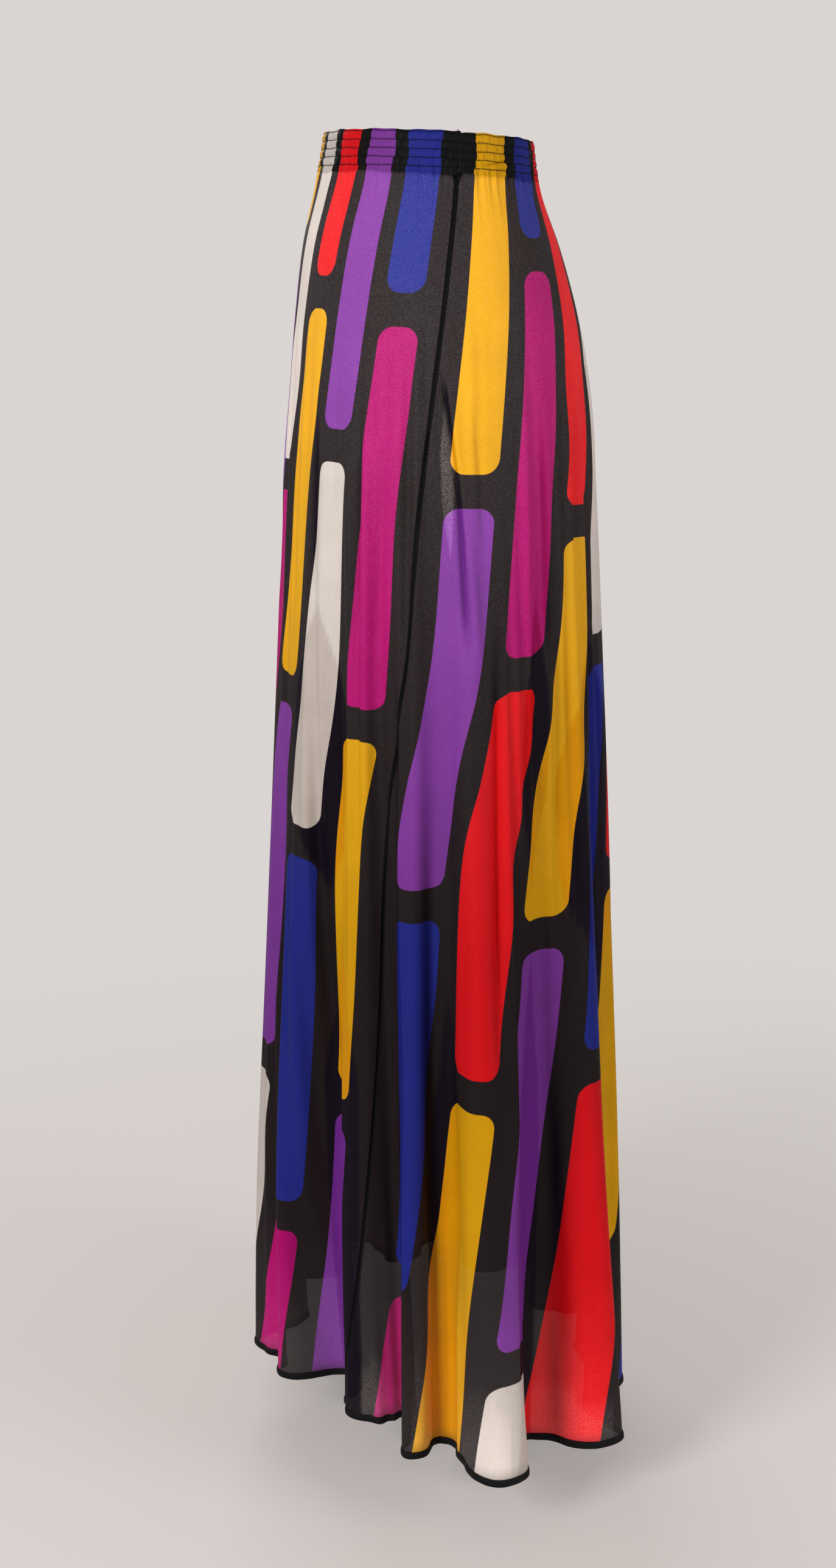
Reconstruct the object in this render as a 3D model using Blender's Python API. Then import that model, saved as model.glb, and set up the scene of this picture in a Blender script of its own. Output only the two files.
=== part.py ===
"""Maxi skirt of printed silk crepe in its worn shape, open at the waist and at the hem.

Units are metres and +Z is up. The front of the skirt faces -Y and the wearer's left side +X. The origin
is on the waist's centre line at the middle of the elastic casing, where the wearer holds the skirt up.
The cloth is one smooth surface of two parameters: the angle round the body, from the front towards the
wearer's left, and the drop below the casing's top edge. A row of SECTIONS gives the plain oval at one
drop, and a row of FOLDS one hanging fold that grows out of that oval down to the hem.
"""
import math
from collections import namedtuple

import bpy
import numpy as np

# Driving dimensions
LENGTH = 1.062
CLOTH_WALL = 0.0011
SEAM_GAP = 0.0003
CASING_HEIGHT = 0.036
CASING_WALL = 0.0026
CHANNELS = 5
CHANNEL_PUFF = 0.0008
BINDING_HEIGHT = 0.0065
BINDING_WALL = 0.0024
WAIST_TILT = 0.005

# The plain oval at a drop: its reach to each side, to the front and to the back, and the angles in
# degrees of the left and the right side seam, which both swing round clockwise down to the hem
Section = namedtuple("Section", "drop side front back seam_left seam_right")
SECTIONS = (
    Section(0.000, 0.124, 0.084, 0.084, 88, -88),
    Section(0.036, 0.128, 0.090, 0.089, 86, -89),
    Section(0.090, 0.143, 0.102, 0.108, 82, -95),
    Section(0.150, 0.156, 0.109, 0.125, 78, -100),
    Section(0.210, 0.165, 0.113, 0.135, 74, -105),
    Section(0.300, 0.172, 0.119, 0.140, 69, -109),
    Section(0.420, 0.176, 0.125, 0.144, 65, -114),
    Section(0.560, 0.180, 0.131, 0.147, 55, -123),
    Section(0.720, 0.186, 0.137, 0.148, 51, -129),
    Section(0.900, 0.194, 0.142, 0.147, 43, -136),
    Section(LENGTH, 0.200, 0.143, 0.146, 34, -143),
)

# A hanging fold: the angle of its crest and of the valley after it, each at the hem and at FOLD_TOP, how
# far at the hem the crest stands out of the oval and the valley goes in, and the drop where it starts
Fold = namedtuple("Fold", "crest crest_top valley valley_top out inward start")
FOLDS = (
    Fold(-9, -6, 0, 8, 0.004, 0.016, 0.30),
    Fold(6, 22, 16, 37, -0.005, 0.066, 0.26),
    Fold(38, 47, 57, 54, -0.029, 0.058, 0.24),
    Fold(67, 66, 76, 76, 0.000, 0.031, 0.14),
    Fold(92, 88, 109, 118, 0.042, 0.012, 0.24),
    Fold(124, 130, 139, 142, 0.043, 0.004, 0.30),
    Fold(152, 154, 167, 168, 0.020, 0.016, 0.26),
    Fold(183, 184, 198, 197, 0.014, 0.026, 0.32),
    Fold(214, 212, 230, 227, 0.024, 0.022, 0.24),
    Fold(247, 244, 262, 258, 0.030, 0.028, 0.28),
    Fold(280, 277, 296, 294, 0.036, 0.026, 0.22),
    Fold(315, 311, 333, 334, 0.012, 0.034, 0.26),
)
FOLD_TOP = 0.38
FOLD_GROWTH = 1.25
FOLD_ROUNDNESS = 0.30

# How finely the solids follow the surface
COLUMNS_PER_FLANK = 5
CASING_COLUMNS = 28
POINTS_PER_CHANNEL = 3
PANEL_DROPS = (
    0.060, 0.090, 0.120, 0.150, 0.180, 0.215, 0.255, 0.300, 0.355,
    0.415, 0.485, 0.560, 0.640, 0.725, 0.815, 0.900, 0.980,
)
LEAST_COLUMN = 0.06
STEP = 1e-4

Finish = namedtuple("Finish", "name colour roughness")
PRINTED_CREPE = Finish("printed silk crepe", (0.012, 0.010, 0.013, 1.0), 0.62)
CASING_CREPE = Finish("doubled silk crepe", (0.010, 0.008, 0.011, 1.0), 0.66)
BINDING_SILK = Finish("black silk binding", (0.006, 0.005, 0.006, 1.0), 0.70)


def clear_scene():
    for item in list(bpy.data.objects):
        bpy.data.objects.remove(item, do_unlink=True)


def smooth_column(drop, name):
    """A column of SECTIONS at any drop, along cubic pieces that keep the rows' average slopes."""
    rows = np.array([row.drop for row in SECTIONS])
    values = np.array([getattr(row, name) for row in SECTIONS], float)
    slopes = np.gradient(values, rows)
    i = np.clip(np.searchsorted(rows, drop, side="right") - 1, 0, len(rows) - 2)
    span = rows[i + 1] - rows[i]
    t = np.clip((drop - rows[i]) / span, 0.0, 1.0)
    start = values[i] * (2 * t**3 - 3 * t**2 + 1) + span * slopes[i] * (t**3 - 2 * t**2 + t)
    end = values[i + 1] * (3 * t**2 - 2 * t**3) + span * slopes[i + 1] * (t**3 - t**2)
    return start + end


def oval(angle, drop):
    """The plain section: an ellipse whose front and back reach differ and blend round the sides."""
    side = smooth_column(drop, "side")
    front = smooth_column(drop, "front")
    back = smooth_column(drop, "back")
    reach = (front + back) / 2 + (front - back) / 2 * np.cos(angle)
    return side * np.sin(angle), -reach * np.cos(angle)


def fold_lines(drop):
    """Angles, offsets and growth of every crest and valley at a drop, in order round the body."""
    down = np.clip((drop - FOLD_TOP) / (LENGTH - FOLD_TOP), -0.3, 1.0)
    lines = []
    for fold in FOLDS:
        grown = np.clip((drop - fold.start) / (LENGTH - fold.start), 0.0, 1.0) ** FOLD_GROWTH
        crest = np.radians(fold.crest_top + (fold.crest - fold.crest_top) * down)
        valley = np.radians(fold.valley_top + (fold.valley - fold.valley_top) * down)
        lines.append((crest, grown * fold.out, grown))
        lines.append((valley, -grown * fold.inward, grown))
    first = lines[0]
    lines.append((first[0] + 2 * math.pi, first[1], first[2]))
    return lines


def fold_shift(angle, drop):
    """How far the folds move the oval outwards, and round, which gives them upright, rounded flanks."""
    lines = fold_lines(drop)
    turned = np.mod(angle - lines[0][0], 2 * math.pi) + lines[0][0]
    out = np.zeros_like(turned)
    turn = np.zeros_like(turned)
    for here, following in zip(lines, lines[1:]):
        between = (turned >= here[0]) & (turned < following[0])
        width = following[0] - here[0]
        phase = math.pi * np.clip((turned - here[0]) / width, 0.0, 1.0)
        share = (1 + np.cos(phase)) / 2
        offset = here[1] * share + following[1] * (1 - share)
        grown = here[2] * share + following[2] * (1 - share)
        out = np.where(between, offset, out)
        turn = np.where(between, FOLD_ROUNDNESS * grown * width / math.pi * np.sin(2 * phase), turn)
    return out, turn


def cloth(angle, drop):
    """The cloth's middle surface: the oval, pushed along its outward normal and turned by the folds."""
    angle, drop = np.broadcast_arrays(np.asarray(angle, float), np.asarray(drop, float))
    out, turn = fold_shift(angle, drop)
    x, y = oval(angle + turn, drop)
    x_after, y_after = oval(angle + turn + STEP, drop)
    along_x, along_y = x_after - x, y_after - y
    push = out / np.hypot(along_x, along_y)
    tilt = WAIST_TILT * np.cos(angle) * (1 - drop / LENGTH) ** 2
    z = CASING_HEIGHT / 2 + tilt - drop
    return np.stack([x + push * along_y, y - push * along_x, z], axis=-1)


def lifted(angle, drop, lift):
    """Points of the cloth moved out along its normal by lift."""
    around = cloth(angle + STEP, drop) - cloth(angle - STEP, drop)
    down = cloth(angle, drop + STEP) - cloth(angle, drop - STEP)
    normal = np.cross(down, around)
    normal /= np.linalg.norm(normal, axis=-1, keepdims=True)
    return cloth(angle, drop) + normal * np.broadcast_to(lift, normal.shape[:-1])[..., None]


def seams(drop):
    """The front's start and end angle and the back's end angle at a drop, one turn in all."""
    left = math.radians(float(smooth_column(drop, "seam_left")))
    right = math.radians(float(smooth_column(drop, "seam_right")))
    return right, left, right + 2 * math.pi


def part_ends(part, drop):
    """Start and end angle of the front or the back at a drop, each half a gap short of its seam."""
    first, middle, last = seams(drop)
    ends = np.array([first, middle] if part == "front" else [middle, last])
    speed = np.linalg.norm(cloth(ends + STEP, drop) - cloth(ends - STEP, drop), axis=-1) / (2 * STEP)
    return ends + np.array([1.0, -1.0]) * SEAM_GAP / 2 / speed


def flank_angle(flank, drop):
    """The angle of a place counted in flanks, where whole numbers are the crests and valleys."""
    angles = np.array([line[0] for line in fold_lines(drop)])
    turns, rest = np.divmod(flank, 2 * len(FOLDS))
    return np.interp(rest, np.arange(len(angles)), angles) + turns * 2 * math.pi


def angle_flank(angle, drop):
    """The place in flanks of an angle, the inverse of flank_angle."""
    angles = np.array([line[0] for line in fold_lines(drop)])
    turns, rest = np.divmod(angle - angles[0], 2 * math.pi)
    return np.interp(rest + angles[0], angles, np.arange(len(angles))) + turns * 2 * len(FOLDS)


def column_flanks(part, drop):
    """Columns of a panel at a drop: its two edges and, between them, even shares of each flank."""
    start, end = angle_flank(part_ends(part, drop), drop)
    first = math.ceil((start + LEAST_COLUMN) * COLUMNS_PER_FLANK)
    last = math.floor((end - LEAST_COLUMN) * COLUMNS_PER_FLANK)
    inner = np.arange(first, last + 1) / COLUMNS_PER_FLANK
    return np.concatenate([[start], inner, [end]])


def build_object(name, points, faces, finish):
    mesh = bpy.data.meshes.new(name)
    mesh.from_pydata(points.reshape(-1, 3).tolist(), [], faces)
    mesh.shade_smooth()
    mesh.set_sharp_from_angle(angle=math.radians(50))
    mesh.materials.append(principled(finish))
    item = bpy.data.objects.new(name, mesh)
    bpy.context.collection.objects.link(item)
    return item


def loop_faces(loops, closed_round):
    """Faces through loops, an array of sections by points by 3, capped at its ends or closed round."""
    sections, points = loops.shape[:2]
    index = np.arange(sections * points).reshape(sections, points)
    here = index if closed_round else index[:-1]
    beyond = np.roll(index, -1, axis=0) if closed_round else index[1:]
    quads = np.stack([here, np.roll(here, -1, axis=1), np.roll(beyond, -1, axis=1), beyond], axis=-1)
    faces = [tuple(quad) for quad in quads.reshape(-1, 4).tolist()]
    if not closed_round:
        faces += end_cap(index[0].tolist()[::-1]) + end_cap(index[-1].tolist())
    return faces


def end_cap(loop):
    """Faces that close a loop which runs down one side of the wall and back up the other."""
    half = len(loop) // 2
    near, far = loop[:half], loop[half:][::-1]
    return [(near[i], near[i + 1], far[i + 1], far[i]) for i in range(half - 1)]


def zip_rows(upper, lower, upper_places, lower_places):
    """Triangles between two rows of points, going round along whichever row is behind."""
    triangles = []
    i = j = 0
    while i < len(upper) - 1 or j < len(lower) - 1:
        lower_done = j == len(lower) - 1
        upper_behind = i < len(upper) - 1 and (lower_done or upper_places[i + 1] <= lower_places[j + 1])
        if upper_behind:
            triangles.append((upper[i], lower[j], upper[i + 1]))
            i += 1
        else:
            triangles.append((upper[i], lower[j], lower[j + 1]))
            j += 1
    return triangles


def rim_strip(line, count, from_here):
    """Triangles of the rim along a line of outer points, whose inner points lie count further on."""
    strip = []
    for here, after in zip(line, line[1:]):
        if from_here:
            strip += [(after, here, count + after), (here, count + here, count + after)]
        else:
            strip += [(after, here, count + here), (after, count + here, count + after)]
    return strip


def wall_faces(rows, places, count):
    """Faces of a wall: outer side, inner side and rim, with one diagonal on both sides of a seam."""
    outer = []
    for k in range(len(rows) - 1):
        outer += zip_rows(rows[k], rows[k + 1], places[k], places[k + 1])
    inner = [tuple(count + point for point in reversed(face)) for face in outer]
    start = rim_strip([row[0] for row in rows], count, True)
    end = rim_strip([row[-1] for row in reversed(rows)], count, False)
    bottom = rim_strip(rows[-1], count, True)
    top = rim_strip(rows[0][::-1], count, True)
    return outer + inner + start + bottom + end + top


def principled(finish):
    material = bpy.data.materials.get(finish.name)
    if material is None:
        material = bpy.data.materials.new(finish.name)
        material.use_nodes = True
        shader = material.node_tree.nodes["Principled BSDF"]
        shader.inputs["Base Color"].default_value = finish.colour
        shader.inputs["Roughness"].default_value = finish.roughness
        shader.inputs["Metallic"].default_value = 0.0
    return material


def panel(name, part):
    """One of the two flared panels, from under the casing to the top of the hem binding."""
    top = CASING_HEIGHT + SEAM_GAP
    bottom = LENGTH - BINDING_HEIGHT - SEAM_GAP
    drops = [top, *PANEL_DROPS, bottom]
    places = [column_flanks(part, drop) for drop in drops]
    starts = np.cumsum([0] + [len(row) for row in places])
    rows = [list(range(start, end)) for start, end in zip(starts, starts[1:])]
    angle = np.concatenate([flank_angle(row, drop) for row, drop in zip(places, drops)])
    drop = np.concatenate([np.full(len(row), drop) for row, drop in zip(places, drops)])
    sides = [lifted(angle, drop, lift) for lift in (CLOTH_WALL / 2, -CLOTH_WALL / 2)]
    faces = wall_faces(rows, places, len(angle))
    return build_object(name, np.concatenate(sides), faces, PRINTED_CREPE)


def casing(name, part):
    """The panel's top edge, folded in over the elastic: stitched channels outside, plain inside."""
    steps = CHANNELS * POINTS_PER_CHANNEL
    down = np.linspace(0.0, CASING_HEIGHT, steps + 1)
    puff = CHANNEL_PUFF * np.abs(np.sin(math.pi * CHANNELS * down / CASING_HEIGHT))
    outer = CASING_WALL / 2 - CHANNEL_PUFF / 2 + puff
    drops = np.concatenate([down, down[::-1]])
    lifts = np.concatenate([outer, np.full(len(down), -CASING_WALL / 2)])
    rows = []
    for drop, lift in zip(drops, lifts):
        angles = np.linspace(*part_ends(part, drop), CASING_COLUMNS + 1)
        rows.append(lifted(angles, drop, lift))
    loops = np.stack(rows, axis=1)
    return build_object(name, loops, loop_faces(loops, False), CASING_CREPE)


def hem_binding():
    """The narrow binding all round the hem, rolled over the edge and fuller than the cloth."""
    top, middle = LENGTH - BINDING_HEIGHT, LENGTH - BINDING_HEIGHT / 2
    profile = ((top, 0.34), (middle, 0.50), (LENGTH, 0.26), (LENGTH, -0.26), (middle, -0.50), (top, -0.34))
    columns = np.arange(2 * len(FOLDS) * COLUMNS_PER_FLANK) / COLUMNS_PER_FLANK
    angles = flank_angle(columns, LENGTH)
    loops = np.stack([lifted(angles, drop, share * BINDING_WALL) for drop, share in profile], axis=1)
    return build_object("hem_binding", loops, loop_faces(loops, True), BINDING_SILK)


def main():
    clear_scene()
    panel("front_panel", "front")
    panel("back_panel", "back")
    casing("waist_casing_front", "front")
    casing("waist_casing_back", "back")
    hem_binding()


main()
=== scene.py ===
"""Maxi skirt of sheer printed silk crepe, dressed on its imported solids.

The cloth is one smooth surface of two parameters, as in the solids: the angle round the skirt, from its
front (-Y) towards its left side (+X), and the drop below the waist's top edge. Every piece is worked out
from that surface, so each lies on its neighbour from any side. Lengths are in metres.
"""
import itertools
import math
from collections import namedtuple

import bpy
import numpy as np
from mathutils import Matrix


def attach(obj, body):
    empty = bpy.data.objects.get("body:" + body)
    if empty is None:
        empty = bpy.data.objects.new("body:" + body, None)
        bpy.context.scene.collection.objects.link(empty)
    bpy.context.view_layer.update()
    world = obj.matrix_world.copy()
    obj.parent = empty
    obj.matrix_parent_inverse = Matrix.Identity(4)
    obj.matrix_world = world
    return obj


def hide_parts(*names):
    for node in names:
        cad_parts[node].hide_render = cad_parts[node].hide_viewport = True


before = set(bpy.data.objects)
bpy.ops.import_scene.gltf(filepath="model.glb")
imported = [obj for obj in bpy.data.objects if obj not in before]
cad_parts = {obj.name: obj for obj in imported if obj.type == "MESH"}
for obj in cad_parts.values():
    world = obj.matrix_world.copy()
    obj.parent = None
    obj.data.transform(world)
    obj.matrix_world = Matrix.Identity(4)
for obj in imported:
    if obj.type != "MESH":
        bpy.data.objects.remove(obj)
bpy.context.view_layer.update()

bl_info = {
    "name": "Maxi Skirt",
    "version": (1, 0, 0),
    "blender": (4, 5, 0),
    "location": "View3D > Sidebar > Skirt",
    "description": "A sheer printed crepe maxi skirt with a shirred waist and a bound hem",
    "category": "Add Mesh",
}

MM = 0.001

# How far apart in angle and in drop two points of the surface are taken for its slope
STEP = 1e-4

# The solids' own sizes, so that the looks fit them
LENGTH = 1.062
CASING_HEIGHT = 0.036
BINDING_HEIGHT = 0.0065
WAIST_TILT = 0.005

# The plain oval at a drop: its reach to each side, to the front and to the back, and the angles in
# degrees of the left and the right side seam, which both swing round clockwise down to the hem
Section = namedtuple("Section", "drop side front back seam_left seam_right")
SECTIONS = (
    Section(0.000, 0.124, 0.084, 0.084, 88, -88),
    Section(0.036, 0.128, 0.090, 0.089, 86, -89),
    Section(0.090, 0.143, 0.102, 0.108, 82, -95),
    Section(0.150, 0.156, 0.109, 0.125, 78, -100),
    Section(0.210, 0.165, 0.113, 0.135, 74, -105),
    Section(0.300, 0.172, 0.119, 0.140, 69, -109),
    Section(0.420, 0.176, 0.125, 0.144, 65, -114),
    Section(0.560, 0.180, 0.131, 0.147, 55, -123),
    Section(0.720, 0.186, 0.137, 0.148, 51, -129),
    Section(0.900, 0.194, 0.142, 0.147, 43, -136),
    Section(LENGTH, 0.200, 0.143, 0.146, 34, -143),
)

# A hanging fold: the angle of its crest and of the valley after it, each at the hem and at FOLD_TOP, how
# far at the hem the crest stands out of the oval and the valley goes in, and the drop where it starts
Fold = namedtuple("Fold", "crest crest_top valley valley_top out inward start")
FOLDS = (
    Fold(-9, -6, 0, 8, 0.004, 0.016, 0.30),
    Fold(6, 22, 16, 37, -0.005, 0.066, 0.26),
    Fold(38, 47, 57, 54, -0.029, 0.058, 0.24),
    Fold(67, 66, 76, 76, 0.000, 0.031, 0.14),
    Fold(92, 88, 109, 118, 0.042, 0.012, 0.24),
    Fold(124, 130, 139, 142, 0.043, 0.004, 0.30),
    Fold(152, 154, 167, 168, 0.020, 0.016, 0.26),
    Fold(183, 184, 198, 197, 0.014, 0.026, 0.32),
    Fold(214, 212, 230, 227, 0.024, 0.022, 0.24),
    Fold(247, 244, 262, 258, 0.030, 0.028, 0.28),
    Fold(280, 277, 296, 294, 0.036, 0.026, 0.22),
    Fold(315, 311, 333, 334, 0.012, 0.034, 0.26),
)

# The drop of the folds' upper angles, how far above it their lines still slant, how their growth quickens
# towards the hem, and how far their flanks are turned upright
FOLD_TOP = 0.38
FOLD_LEAD = 0.3
FOLD_GROWTH = 1.25
FOLD_ROUNDNESS = 0.30

# A crease, given one by one: its angle at its top and at its foot in degrees, the drops where it starts and
# ends, half its width and its height in millimetres, below nought for a trough
Crease = namedtuple("Crease", "angle_top angle_foot top foot half_width height")
CREASES = (
    # The left side, which the camera sees
    Crease(96, 93, 0.33, 0.76, 5.0, -5.4),
    Crease(62, 58, 0.40, 0.72, 5.0, -3.8),
    Crease(125, 124, 0.34, 0.70, 5.5, -3.6),
    Crease(86, 85, 0.36, 0.66, 8.0, 2.8),
    Crease(104, 101, 0.36, 0.66, 8.0, 2.6),
    Crease(76.5, 83.8, 0.175, 0.300, 3.0, -4.0),
    Crease(82, 87, 0.235, 0.43, 3.4, -4.5),
    Crease(81, 91, 0.20, 0.45, 6.0, 3.2),
    Crease(71, 79, 0.20, 0.33, 6.5, 2.2),
    Crease(45.5, 45.5, 0.22, 0.42, 3.2, -3.4),
    Crease(50, 49.5, 0.22, 0.44, 6.5, 2.5),
    Crease(40.5, 41, 0.25, 0.42, 5.5, 1.4),
    Crease(55, 53, 0.24, 0.42, 4.3, -1.6),
    Crease(33, 33, 0.15, 0.36, 5.8, -1.7),
    Crease(22, 24, 0.20, 0.40, 5.0, -2.2),
    Crease(89, 93, 0.20, 0.34, 4.3, -1.6),
    Crease(116, 117, 0.20, 0.46, 5.8, -2.2),
    Crease(108, 107, 0.22, 0.40, 6.0, 1.2),
    Crease(133, 134, 0.20, 0.44, 5.8, -1.9),
    Crease(146, 149, 0.26, 0.60, 6.5, -2.0),
    Crease(8, 10, 0.22, 0.42, 5.0, -1.7),
    Crease(77, 78, 0.74, 1.09, 4.5, -3.4),
    Crease(82, 82, 0.86, 1.16, 5.0, 4.0),
    Crease(98, 97, 0.78, 1.06, 5.8, -3.6),
    Crease(30, 28, 0.60, 0.98, 5.0, -3.6),
    Crease(116, 117, 0.70, 1.06, 5.8, -3.7),
    Crease(118, 98, 0.0205, 0.0285, 4.0, -2.2),
    Crease(119, 98, 0.0240, 0.0325, 9.0, 1.1),
    # The sides that it doesn't see
    Crease(163, 160, 0.30, 0.66, 5.8, -3.7),
    Crease(178, 176, 0.20, 0.44, 5.0, -2.0),
    Crease(191, 192, 0.34, 0.78, 8.0, 2.8),
    Crease(205, 206, 0.22, 0.40, 5.0, -1.7),
    Crease(221, 223, 0.28, 0.62, 5.8, -4.0),
    Crease(237, 235, 0.20, 0.46, 7.0, 2.2),
    Crease(252, 253, 0.34, 0.72, 5.8, -3.1),
    Crease(268, 264, 0.18, 0.42, 4.3, -3.7),
    Crease(273, 269, 0.20, 0.44, 6.5, 2.8),
    Crease(287, 289, 0.26, 0.60, 5.8, -2.5),
    Crease(303, 305, 0.22, 0.50, 5.8, -3.4),
    Crease(322, 321, 0.20, 0.42, 7.0, 1.9),
    Crease(341, 343, 0.28, 0.66, 5.8, -3.1),
    Crease(356, 352, 0.20, 0.40, 5.0, -1.7),
    Crease(190, 189, 0.80, 1.06, 5.8, -3.1),
    Crease(240, 238, 0.76, 1.06, 5.8, -3.4),
    Crease(305, 304, 0.78, 1.06, 5.8, -3.1),
)

# The share of its length in which a crease fades at each end
CREASE_TAPER = 0.35

# A stretch where a fold lays the sheer cloth in two layers. It is painted deeper for those layers and has
# painted shade for its recess. The columns are the lines where it begins and ends, each by its angle in
# degrees at the top and at the foot, the drops between which it lies, and how strongly it shows, below
# nought for painted light that makes the cloth paler
Double = namedtuple("Double", "first_top first_foot last_top last_foot top foot strength")
DOUBLINGS_AND_PAINTED_LIGHT = (
    # The left side, which the camera sees
    Double(14, 14, 38, 40, 0.36, 0.64, 0.85),
    Double(25, 14, 46, 40, 0.60, 1.06, 0.75),
    Double(61, 53, 65, 65, 0.54, 1.06, 0.80),
    Double(74, 73, 84, 81, 0.66, 1.06, 0.65),
    Double(108, 104, 118, 115, 0.35, 0.62, 0.70),
    Double(106, 94, 115, 110, 0.62, 1.06, 0.75),
    Double(118, 121, 162, 160, 0.38, 0.74, 0.80),
    # Painted highlight at the hip, where the cloth turns to the light, then painted shadow along the crisp
    # edge of its fold
    Double(75.2, 79.0, 81.0, 82.0, 0.205, 0.345, -0.95),
    Double(77.0, 82.6, 78.1, 84.0, 0.180, 0.282, 0.95),
    Double(81.2, 85.2, 82.6, 86.6, 0.240, 0.360, 0.70),
    # Painted pale light from the floor through the single cloth by the hem
    Double(40, 39, 48, 48, 1.000, 1.062, -0.80),
    Double(68, 67, 72, 73, 0.930, 1.062, -0.60),
    Double(83, 83, 93, 93, 0.980, 1.062, -0.60),
    Double(98, 98, 124, 124, 1.010, 1.062, -0.60),
    # The sides that it doesn't see
    Double(196, 192, 214, 206, 0.36, 0.72, 0.75),
    Double(219, 222, 233, 231, 0.52, 1.06, 0.70),
    Double(255, 250, 266, 262, 0.42, 0.88, 0.75),
    Double(290, 288, 299, 301, 0.58, 1.06, 0.70),
    Double(309, 311, 336, 330, 0.38, 0.70, 0.80),
    Double(338, 334, 347, 346, 0.66, 1.06, 0.65),
    # Painted pale light from the floor through the single cloth by the hem
    Double(168, 166, 184, 186, 0.990, 1.062, -0.70),
    Double(268, 266, 282, 284, 1.000, 1.062, -0.70),
)

# The share of its length in which a stretch draws to a point, the softness of its edges, the height in
# millimetres below which a crease's trough gets painted shade as well, and how much of it
STRETCH_TAPER = 0.42
STRETCH_EDGE = 1.4
TROUGH_HEIGHT = -2
TROUGH_SHADE = 0.6

# A soft wave: how many there are in one turn, or in the unit of what it runs along, how far it swings on
# with the second measure that wave_sum is given, its phase and its height
Wave = namedtuple("Wave", "count swing phase height")

# The waves round the skirt in millimetres, which swing on down its length, the share of them that shows
# everywhere and how the rest comes and goes, the drop where they start, how soon they are whole, and how
# much they grow down to the hem
WAVES = (
    Wave(37, 2.1, 0.4, 1.20),
    Wave(53, -3.4, 2.2, 0.95),
    Wave(71, 4.2, 4.1, 0.50),
)
WAVES_SHARE = 0.65
WAVES_PATCHES = (Wave(5, 9.0, 0.0, 0.35),)
WAVES_TOP = 0.10
WAVES_RISE = 0.20
WAVES_GROWTH = 0.6

# The short gathers round the waist in millimetres, and how soon they fade below the casing
GATHERS = (
    Wave(61, 0.0, 0.9, 0.55),
    Wave(97, 0.0, 3.3, 0.40),
    Wave(149, 0.0, 5.2, 0.25),
)
GATHERS_FADE = 0.016

# The waist's top edge and the rows of stitching below it, with a channel of elastic between each two, and
# how far the casing's two faces lie from the cloth's middle
CASING_TOP = 0.0014
FIRST_ROW = 0.0030
ROW_PITCH = 0.0067
STITCH_ROWS = FIRST_ROW + ROW_PITCH * np.arange(5)
CASING_OUTER = 0.25 * MM
CASING_INNER = 1.3 * MM

# How far below the casing's top its first points lie, and how far from the cloth's middle its outer and
# its inner side end at the rounded top, and its inner side at its foot
CASING_TOP_POINTS = np.array([0.0, 0.25, 0.7]) * MM
TOP_OUTER, TOP_INNER, FOOT_INNER = -0.35 * MM, -0.75 * MM, -0.6 * MM

# How far above the casing's foot its turned-in edge ends and how that wavers, in millimetres, and within
# how far below the last row of stitches this sets in
EDGE_INSET = 1.2
EDGE_WAVES = (Wave(17, 0.0, 1.0, 0.7), Wave(41, 0.0, 2.0, 0.5))
EDGE_REACH = 0.006

# How the casing wanders round the waist: its sway as a share of SEAM_STEP, its channels' puffs as a share
# of their height, its stitches in millimetres, and its print as a share of the panel's width, which sets
# in within the reach below from a seam. The last three go on from channel to channel or from row to row
SWAYS = (Wave(13, 0.0, 0.8, 0.32), Wave(29, 0.0, 2.9, 0.24))
SWELLS = (Wave(67, 1.9, 0.0, 0.30), Wave(109, 3.1, 0.0, 0.22))
STITCH_WAVES = (Wave(31, 2.0, 0.0, 0.30), Wave(12, 3.0, 0.0, 0.22))
PRINT_SHIFTS = (Wave(23, 5.0, 0.0, 0.0034),)
PRINT_SHIFT_REACH = 0.02

# The puff below the last row as a share of the others, and how full all of them are
LAST_PUFF = 0.22
PUFF_FULLNESS = 0.75

# How far on each row's stitches start, and those of its outer and inner face, as shares of their pitch,
# how high a stitch's ends and its arch stand, and how thick a thread's ends are, as shares of the thread
ROW_SHIFT, FACE_SHIFT = 0.37, 0.25
STITCH_FOOT, STITCH_ARCH = 0.2, 0.5
THREAD_END = 0.35

# How far the casing's halves are out of line at a side seam, how far round that shows, and by what angle
# in radians each half's points keep to their own side of it
SEAM_STEP = 0.0010
SEAM_STEP_REACH = 0.012
SEAM_KEEP = 2e-4

# The dip at a side seam and the puckers beside its stitches: their height, reach and, for puckers, pitch
GROOVE_DEPTH, GROOVE_REACH = 0.10 * MM, 1.1 * MM
PUCKER_HEIGHT, PUCKER_REACH, PUCKER_PITCH = 0.14 * MM, 5.0 * MM, 7.5 * MM

# The clipped thread ends' angles in degrees, how far in radians they lean round, and their heights in
# millimetres; how far below the top edge and how far out they start, how far and how much of a turn they
# bend outwards, and how thick they are as a share of half the thread
TAIL_ANGLES, TAIL_LEANS, TAIL_HEIGHTS = (86.0, 87.4), (0.020, -0.012), (2.5, 1.5)
TAIL_START, TAIL_LIFT = 0.6 * MM, 0.2 * MM
TAIL_BEND, TAIL_TURN = 1.2 * MM, 2.2
TAIL_THICKNESS = 0.7

# The pressed seam allowances: how far up into the casing they go, how far inside the cloth's middle they
# lie, their thickness and how their edges waver down the skirt
ALLOWANCE_TUCK = 3 * MM
ALLOWANCE_DEPTH = 0.9 * MM
ALLOWANCE_THICKNESS = 0.4 * MM
ALLOWANCE_WAVES = (Wave(190, 0.0, 0.0, 0.05),)

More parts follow.
